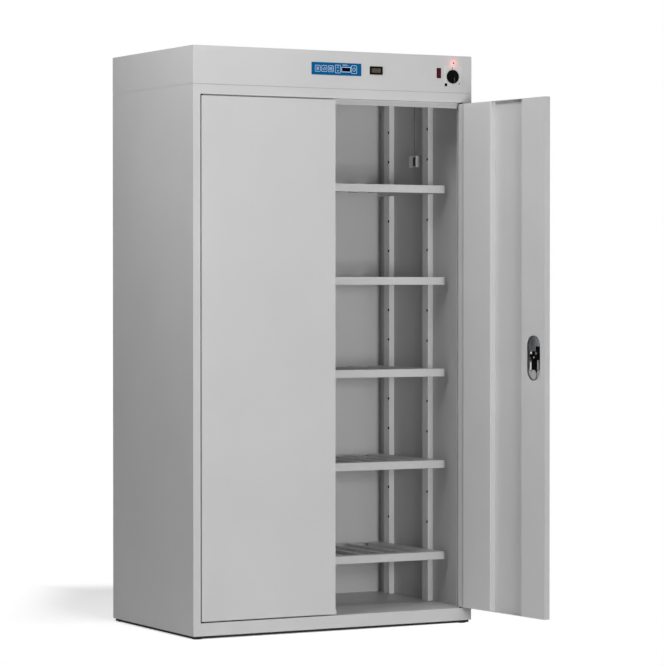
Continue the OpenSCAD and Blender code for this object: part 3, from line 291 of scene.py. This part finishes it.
fade_out = add(tree, "Math", links={0: fade.outputs["Result"], 1: left_fade.outputs["Result"]}, operation="MAXIMUM")
paper_seen = add(tree, "MixShader", links={0: fade_out.outputs[0], 1: near_paper.outputs[0],
                                           2: far_paper.outputs[0]})
floor_mix = add(tree, "MixShader", links={0: seen_any.outputs[0], 1: matt.outputs[0], 2: paper_seen.outputs[0]})
end_finish(tree, floor_mix)
floor_mesh.materials.append(paper)
print("floor made,", 2 * HALF_WIDTH, "m wide")

# %% [markdown]
# The cabinet was lit by big soft boxes: one in front, a little to the left, which lights the doors and reaches the
# shelf posts, one high at the left for the side wall and the open door, and one above. The world gives an even grey
# light from everywhere, and shows as white to the camera.

# %% World and lamps
ROOM_LIGHT = 0.075
world = bpy.data.worlds.new("studio")
bpy.context.scene.world = world
world.use_nodes = True
world.node_tree.nodes.clear()
tree = world.node_tree
seen = add(tree, "LightPath")
seen_any = add(tree, "Math", links={0: seen.outputs["Is Camera Ray"], 1: seen.outputs["Is Transmission Ray"]},
               operation="MAXIMUM")
room = add(tree, "Background", {"Color": linear("#ffffff"), "Strength": ROOM_LIGHT})
white = add(tree, "Background", {"Color": linear("#ffffff"), "Strength": 1.0})
mix = add(tree, "MixShader", links={0: seen_any.outputs[0], 1: room.outputs[0], 2: white.outputs[0]})
add(tree, "OutputWorld", links={"Surface": mix.outputs[0]})


def soft_box(name, place, aim, size, power):
    data = bpy.data.lights.new(name, "AREA")
    data.shape, data.size, data.energy = "SQUARE", size, power
    lamp = bpy.data.objects.new(name, data)
    lamp.location = place
    lamp.rotation_euler = (Vector(aim) - Vector(place)).to_track_quat("-Z", "Y").to_euler()
    bpy.context.scene.collection.objects.link(lamp)
    return lamp


soft_box("front_box", (-0.4, -5.5, 0.9), (0.2, 0, 0.95), 1.2, 113)
soft_box("high_left_box", (-2.0, -0.8, 3.0), (-0.3, -0.3, 1.2), 1.2, 46)
soft_box("top_box", (0, -2.5, 3.6), (0, -0.3, 1.0), 1.6, 24)
bpy.context.scene.view_settings.view_transform = "Standard"

# %% [markdown]
# ## The control panel's print
# The keypad is a sheet of film printed in blue, with thin pale lines round each key. A printed line is a flat ribbon
# that follows a path, so one function makes ribbons from paths. Each ribbon is given the thickness of an ink film,
# drawn at a tenth of a millimetre so that it doesn't flicker against the film below it. Another function turns a
# finished mesh into a piece with its finish, which rides on one body of the cabinet.

# %% Ribbons of ink
INK_THICK = 0.1


def round_path(x, z, w, h, r, steps=5):
    corners = [(x + w / 2 - r, z + h / 2 - r, 0), (x - w / 2 + r, z + h / 2 - r, 90),
               (x - w / 2 + r, z - h / 2 + r, 180), (x + w / 2 - r, z - h / 2 + r, 270)]
    return [(cx + r * math.cos(math.radians(start + 90 * i / steps)),
             cz + r * math.sin(math.radians(start + 90 * i / steps)))
            for cx, cz, start in corners for i in range(steps + 1)]


def arc_path(x, z, r, start, end, steps=16):
    return [(x + r * math.sin(math.radians(start + (end - start) * i / steps)),
             z + r * math.cos(math.radians(start + (end - start) * i / steps))) for i in range(steps + 1)]


def keep(name, mesh, finish, body):
    bmesh.ops.recalc_face_normals(mesh, faces=mesh.faces)
    data = bpy.data.meshes.new(name)
    mesh.to_mesh(data)
    mesh.free()
    data.materials.append(finish)
    piece = bpy.data.objects.new(name, data)
    bpy.context.scene.collection.objects.link(piece)
    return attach(piece, body)


def ink(name, open_paths, closed_paths, width, y, finish, body, thick=INK_THICK):
    mesh = bmesh.new()
    for path, closed in [(p, False) for p in open_paths] + [(p, True) for p in closed_paths]:
        points = [Vector(p) for p in path]
        sides = []
        for i, point in enumerate(points):
            before = points[i - 1] if i or closed else point
            after = points[(i + 1) % len(points)] if i < len(points) - 1 or closed else point
            along = (after - before).normalized()
            across = Vector((-along.y, along.x)) * width / 2
            sides.append([mesh.verts.new((p.x * MM, y * MM, p.y * MM)) for p in (point + across, point - across)])
        pairs = list(zip(sides, sides[1:])) + ([(sides[-1], sides[0])] if closed else [])
        for (a, b), (c, d) in pairs:
            mesh.faces.new((a, b, d, c))
    bmesh.ops.recalc_face_normals(mesh, faces=mesh.faces)
    ribbons = bmesh.ops.extrude_face_region(mesh, geom=mesh.faces[:])
    bmesh.ops.translate(mesh, verts=[v for v in ribbons["geom"] if isinstance(v, bmesh.types.BMVert)],
                        vec=(0, -thick * MM, 0))
    return keep(name, mesh, finish, body)


white_ink = moulded_plastic("white_screen_ink", "#cfe6fb", "#c4def6", 0.4, 1.5)
grey_ink = moulded_plastic("grey_screen_ink", "#5c625e", "#666c68", 0.45, 1.5)
dark_ink = moulded_plastic("dark_screen_ink", "#2a2a2c", "#343436", 0.45, 1.5)
print("ink made; a ribbon is", INK_THICK, "mm thick")

# %% [markdown]
# Every key is outlined, with a plain sign inside: three bars, a dial, waves of air, up and down arrows, and a power
# ring. The display is a dark window in the film with two dim red seven-segment digits behind it and a pale outline.

# %% Keypad print
KEY_FACE, FILM_FACE = -301.1, -300.8
KEY_EDGE, OUTLINE_INSET, OUTLINE_RADIUS = 2.4, 1.6, 1.6
key_boxes = {}
for i in range(1, 6):
    low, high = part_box(f"key_{i}")
    key_boxes[i] = ((low.x + high.x) / 2 / MM, (low.z + high.z) / 2 / MM, (high.x - low.x) / MM - KEY_EDGE,
                    (high.z - low.z) / MM - KEY_EDGE)
signs = {
    1: [[(-3, -5), (-3, 5)], [(0, -5), (0, 5)], [(3, -5), (3, 5)]],
    2: [arc_path(0, 0, 4.5, 0, 300), [(0, 0), (0, 5)]],
    3: [[(x, z + 1.2 * math.sin(x)) for x in range(-6, 7)] for z in (-4, 0, 4)],
    4: [[(-4, 3), (0, 8), (4, 3)], [(-4, -3), (0, -8), (4, -3)]],
    5: [arc_path(0, 0, 5, 30, 330), [(0, 1), (0, 7)]]}
for i, (x, z, w, h) in key_boxes.items():
    shifted = [[(x + a, z + b) for a, b in path] for path in signs[i]]
    outline = round_path(x, z, w - OUTLINE_INSET, h - OUTLINE_INSET, OUTLINE_RADIUS)
    ink(f"key_{i}_print", shifted, [outline], 1.1, KEY_FACE, white_ink, f"key_{i}")
window_x, window_z, window_w, window_h = 36.8, 1776.75, 29.6, 12.0
labels = [(-13, 9, 12.25), (-13, 4, 15.25), (14.8, 18.4, 9.25)]
ink("keypad_print", [[(window_x + a, window_z + up), (window_x + b, window_z + up)] for a, b, up in labels], [], 0.9,
    FILM_FACE, white_ink, "cabinet")
print("printed", len(key_boxes), "keys")

# %% Display window
THIN, STROKE = 0.05, 0.8
SIDE_GAP, END_GAP = 0.12, 0.06
SEGMENTS = {"0": "abcdef", "1": "bc", "4": "fgbc", "6": "afgedc", "8": "abcdefg"}
STROKES = {"a": ((0, 2), (1, 2)), "b": ((1, 2), (1, 1)), "c": ((1, 1), (1, 0)), "d": ((0, 0), (1, 0)),
           "e": ((0, 0), (0, 1)), "f": ((0, 1), (0, 2)), "g": ((0, 1), (1, 1))}


def digits(text, x, z, w, h, gap):
    paths = []
    for k, digit in enumerate(text):
        left = x + k * (w + gap)
        for segment in SEGMENTS[digit]:
            (ax, az), (bx, bz) = STROKES[segment]
            inset_x, inset_z = (SIDE_GAP if ax != bx else 0) * w, (END_GAP if az != bz else 0) * h
            step = 1 if (bx, bz) > (ax, az) else -1
            paths.append([(left + ax * w + inset_x, z + az * h / 2 + (inset_z if step > 0 else -inset_z)),
                          (left + bx * w - inset_x, z + bz * h / 2 - (inset_z if step > 0 else -inset_z))])
    return paths


def dark_window(name, colour, glow):
    finish, tree = start_finish(name)
    place = add(tree, "TexCoord").outputs["Object"]
    mesh_lines = add(tree, "TexNoise", {"Scale": 400.0}, {"Vector": place})
    tone = add(tree, "ValToRGB", links={"Fac": mesh_lines.outputs["Fac"]})
    tone.color_ramp.elements[0].color = linear(colour)
    tone.color_ramp.elements[1].color = linear(glow)
    window_film = add(tree, "BsdfPrincipled", {"Roughness": 0.3, "IOR": 1.12}, {"Base Color": tone.outputs["Color"]})
    end_finish(tree, window_film)
    return finish


smoked = dark_window("smoked_display_film", "#050308", "#08050c")
led_red = lit_lens("red_segment_glow", "#1c0508", "#5a0c14", 0.15)
ink("display_window", [[(window_x - window_w / 2, window_z), (window_x + window_w / 2, window_z)]], [], window_h,
    FILM_FACE, smoked, "cabinet", THIN)
ink("display_digits", digits("60", window_x - 6, window_z - 3.6, 4, 7.2, 3), [], STROKE, FILM_FACE - THIN, led_red,
    "cabinet", THIN)
outline = round_path(window_x, window_z, window_w + 2.6, window_h + 2.6, OUTLINE_RADIUS)
ink("display_outline", [], [outline], 1.5, FILM_FACE, white_ink, "cabinet")
print("display window made")

# %% [markdown]
# The hour meter is a black bezel with a small glass pane over a grey-brown liquid-crystal strip.

# %% Hour meter glass
BEZEL_FACE, PANE_THICK = -301.3, 0.3
PANE_W, PANE_H = 34.4, 15
low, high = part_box("hour_meter")
meter_x, meter_z = (low.x + high.x) / 2 / MM, (low.z + high.z) / 2 / MM
lcd = dark_window("liquid_crystal_pane", "#4f463d", "#5a5046")
lcd_ink = moulded_plastic("liquid_crystal_digits", "#6a6158", "#70675d", 0.4, 1.5, 1.3)
ink("meter_pane", [[(meter_x - PANE_W / 2, meter_z), (meter_x + PANE_W / 2, meter_z)]], [], PANE_H, BEZEL_FACE, lcd,
    "cabinet", PANE_THICK)
ink("meter_digits", digits("00418", meter_x - 13, meter_z - 4, 3.6, 8, 2), [], STROKE, BEZEL_FACE - PANE_THICK,
    lcd_ink, "cabinet", THIN)
print("hour meter glazed")

# %% [markdown]
# The dial round the knob is a pale label with printed ticks, a black square at the start of the scale and a mark at
# its end. The knob has a thin grey line on its grip, a painted highlight, and a small red dot in its middle.

# %% Dial and knob marks
DIAL_FACE = -300.5
knob_low, knob_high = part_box("knob")
knob_x, knob_z = (knob_low.x + knob_high.x) / 2 / MM, (knob_low.z + knob_high.z) / 2 / MM


def radial(angle, r0, r1):
    s, c = math.sin(math.radians(angle)), math.cos(math.radians(angle))
    return [(knob_x + r0 * s, knob_z + r0 * c), (knob_x + r1 * s, knob_z + r1 * c)]


ink("dial_ticks", [radial(-120 + 24 * i, 25, 28) for i in range(11)], [], 0.8, DIAL_FACE, grey_ink, "cabinet")
ink("dial_top_mark", [radial(0, 24, 31)], [], 1.8, DIAL_FACE, dark_ink, "cabinet")
marks = [("dial_square", (-29, -26.5), (-19.5, -26.5), 9.5, DIAL_FACE, black_abs, "cabinet"),
         ("dial_end_mark", (24.5, -24), (27.5, -20), 3.2, DIAL_FACE, dark_ink, "cabinet"),
         # The grey line on the knob's grip is a painted highlight.
         ("knob_painted_highlight", (0, -4), (0, -17), 1.6, knob_low.y / MM, grey_ink, "thermostat_knob"),
         ("knob_red_dot", (2.2, -1), (4.2, -1), 2, knob_low.y / MM, red_plastic, "thermostat_knob")]
for name, (ax, az), (bx, bz), width, face, finish, body in marks:
    ink(name, [[(knob_x + ax, knob_z + az), (knob_x + bx, knob_z + bz)]], [], width, face, finish, body)
print("dial printed round", round(knob_x, 1), round(knob_z, 1))

# %% [markdown]
# ## Small hardware
# The free holes in the shelf posts are filled with black: each holds a short tube closed behind, painted shade for
# the dark inside of the hole. The lock's window in the open door shows more than the CAD model's guides: a black nylon
# cover over the cam with a pin, screws and a white rivet on it, a white glide and a zinc strip beside the lower rod,
# and a cast plate and cap at the lower guide. The rivet and the glide are white to paint the bright highlights there.
# The flat ones are built from outlines: a list of corners seen from the front, pushed to a thickness. The round and
# the swept ones are built from rings of points that are joined one after the other and closed at both ends.

# %% Flat parts from outlines
DISC_SIDES, SHADE_TUBE_SIDES, EDGE_BEVEL = 24, 12, 0.15


def disc(x, z, r, steps=DISC_SIDES):
    return [(x + r * math.cos(math.tau * i / steps), z + r * math.sin(math.tau * i / steps)) for i in range(steps)]


def join_rings(mesh, rings):
    for a, b in zip(rings, rings[1:]):
        for i in range(len(a)):
            mesh.faces.new((a[i], a[i - 1], b[i - 1], b[i]))
    mesh.faces.new(rings[0])
    mesh.faces.new(rings[-1])


def flat_part(mesh, outline, near, far, to_place):
    middle = Vector((sum(p[0] for p in outline), sum(p[1] for p in outline))) / len(outline)
    reach = max((Vector(p) - middle).length for p in outline)
    inner = [middle + (Vector(p) - middle) * (1 - EDGE_BEVEL / reach) for p in outline]
    join_rings(mesh, [[mesh.verts.new(to_place(p[0], depth, p[1])) for p in points]
                      for points, depth in ((outline, far), (outline, near - EDGE_BEVEL), (inner, near))])


print("a disc of", DISC_SIDES, "sides is off a circle by", round(100 * (1 - math.cos(math.pi / DISC_SIDES)), 1),
      "per cent")

# %% Painted shade in the shelf post holes
POST_WIDTH, HOLE_INSET = 36, 5.1
LOWEST_HOLE, HOLE_PITCH, HOLES, SHELF_EVERY = 212, 100, 15, 3
SHADE_TUBE = ((3.4, 2.0), (3.4, 0.02), (4.7, 0.02), (4.7, -0.2), (3.2, -0.2), (2.9, 1.6))
free_holes = [LOWEST_HOLE + HOLE_PITCH * k for k in range(HOLES) if k % SHELF_EVERY]
# Black tubes closed behind fill the free holes: painted shade for the dark inside of each hole.
hole_shade_tubes = bmesh.new()
for name, side in (("left_posts", -1), ("right_posts", 1)):
    low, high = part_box(name)
    face = (high.x if side < 0 else low.x) / MM
    for post_y in (low.y / MM, high.y / MM - POST_WIDTH):
        for hole_z in free_holes:
            join_rings(hole_shade_tubes, [[hole_shade_tubes.verts.new(((face + side * x) * MM, y * MM, z * MM))
                                  for y, z in disc(post_y + HOLE_INSET, hole_z, r, SHADE_TUBE_SIDES)] for r, x in SHADE_TUBE])
keep("post_hole_painted_shade", hole_shade_tubes, black_nylon_and_painted_shade, "cabinet")
print(4 * len(free_holes), "sleeves in the posts")

# %% Parts in the lock's window
OPEN = math.radians(94.5)
PIVOT = Vector((466, -294))
LOCK_X, LOCK_Z, DOOR_FACE = 59, 868, -300
BACK, SIDE_BACK, COVER, CAP = 13.3, 18.85, 19.5, 19.9
GUIDE_Z, RING_R, END_R, END_UP, TOP_EDGE, PLATE_FACE = -52, 15.3, 30.5, 15, 14.4, 16.4


def on_open_door(u, depth, z):
    x, y = LOCK_X - u - PIVOT.x, DOOR_FACE + depth - PIVOT.y
    return ((PIVOT.x + x * math.cos(OPEN) - y * math.sin(OPEN)) * MM,
            (PIVOT.y + x * math.sin(OPEN) + y * math.cos(OPEN)) * MM, (LOCK_Z + z) * MM)


def lock_part(name, outlines, finish):
    mesh = bmesh.new()
    for outline, far, near in outlines:
        flat_part(mesh, outline, near, far, on_open_door)
    return keep(name, mesh, finish, "right_door")


def plate(u0, u1, z0, z1):
    return [(u0, z0), (u1, z0), (u1, z1), (u0, z1)]


lock_part("lock_cam_cover", [(plate(-20, 31, -6, 20.8), SIDE_BACK, COVER), (plate(-10, 18, -37, -6), SIDE_BACK, COVER),
                             (plate(19.2, 30, -6, 20.8), BACK, SIDE_BACK), (plate(12, 31, 20.8, 36.5), BACK, CAP)],
          black_nylon_and_painted_shade)
# The rivet and the glide are white to paint the bright highlights that show there.
lock_part("lock_rivet_painted_highlight", [(disc(-13, 16, 4.2), COVER, CAP)], white_painted_highlight)
lock_part("lock_cover_pin", [(disc(1.5, 2, 3), COVER, CAP)], zinc_casting)
lock_part("lock_cover_screws", [(disc(-16.5, -0.5, 2.8), COVER, CAP), (disc(13, 15, 4.6), COVER, CAP - 0.05)],
          zinc_plate)
lock_part("lock_glide_painted_highlight", [(plate(-19.5, -13, -37, -13), BACK, COVER - 0.2)], white_painted_highlight)
lock_part("lock_zinc_strip", [(plate(18.2, 22, -37, -7), BACK, 18.6)], zinc_casting)
lock_part("lower_guide_cap", [(disc(0, GUIDE_Z, 14.6), 19.65, 19.95)], zinc_casting)
guide_plate = bmesh.new()
rows = []
for angle in range(62, 299, 6):
    s, c = math.sin(math.radians(angle)), math.cos(math.radians(angle))
    to_end = END_UP * c + math.sqrt((END_UP * c) ** 2 + END_R ** 2 - END_UP ** 2)
    reach = min(to_end, TOP_EDGE / c if c > 0 else to_end)
    rows.append([guide_plate.verts.new(on_open_door(r * s, depth, GUIDE_Z + r * c))
                 for r, depth in ((RING_R, BACK), (RING_R, PLATE_FACE), (reach, PLATE_FACE), (reach, BACK))])
join_rings(guide_plate, rows)
keep("lower_guide_plate", guide_plate, zinc_casting, "right_door")

# %% [markdown]
# The header box sits on the body with a thin open joint. A line of grey in its groove paints the shade of that joint,
# set back a little from the face, round the front and the right side.

# %% Painted shade in the header joint
JOINT, GROOVE, DEPTH, SLOPE, CORNER_GAP = 2, 0.6, 0.3, 0.4, 0.8
header_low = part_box("header_front")[0] / MM
profile = [(GROOVE - 0.02, 0.1), (DEPTH, 0.1 + SLOPE), (DEPTH, JOINT - 0.1 - SLOPE), (GROOVE - 0.02, JOINT - 0.1)]
side_x, front_y = -header_low.x, header_low.y
front_ends = [[(x, front_y + depth, z) for depth, z in profile] for x in (CORNER_GAP - side_x, side_x - CORNER_GAP)]
side_ends = [[(side_x - depth, y, z) for depth, z in profile] for y in (front_y + CORNER_GAP, -front_y - CORNER_GAP)]
# A grey bead in the open joint paints the shade of the joint.
joint_shade_bead = bmesh.new()
for ends in (front_ends, side_ends):
    join_rings(joint_shade_bead, [[joint_shade_bead.verts.new((x * MM, y * MM, (header_low.z + z) * MM)) for x, y, z in end]
                         for end in ends])
keep("header_joint_painted_shade", joint_shade_bead, joint_shade_grey, "cabinet")
print("sealant at", round(header_low.z, 1), "mm above the floor")

# %% [markdown]
# A lit pilot lamp tints the sheet round it. A very small red lamp just in front of the lens gives that halo.

# %% Halo of the pilot lamp
AHEAD = 0.006
lamp_low, lamp_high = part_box("pilot_lamp")
halo_data = bpy.data.lights.new("pilot_halo", "POINT")
halo_data.energy, halo_data.color, halo_data.shadow_soft_size = 0.007, linear("#ff8478")[:3], 0.002
halo = bpy.data.objects.new("pilot_halo", halo_data)
halo.location = ((lamp_low.x + lamp_high.x) / 2, lamp_low.y - AHEAD, (lamp_low.z + lamp_high.z) / 2)
bpy.context.scene.collection.objects.link(halo)
print("halo lamp of", round(halo_data.energy, 4), "W")

# %% [markdown]

print("scene built")
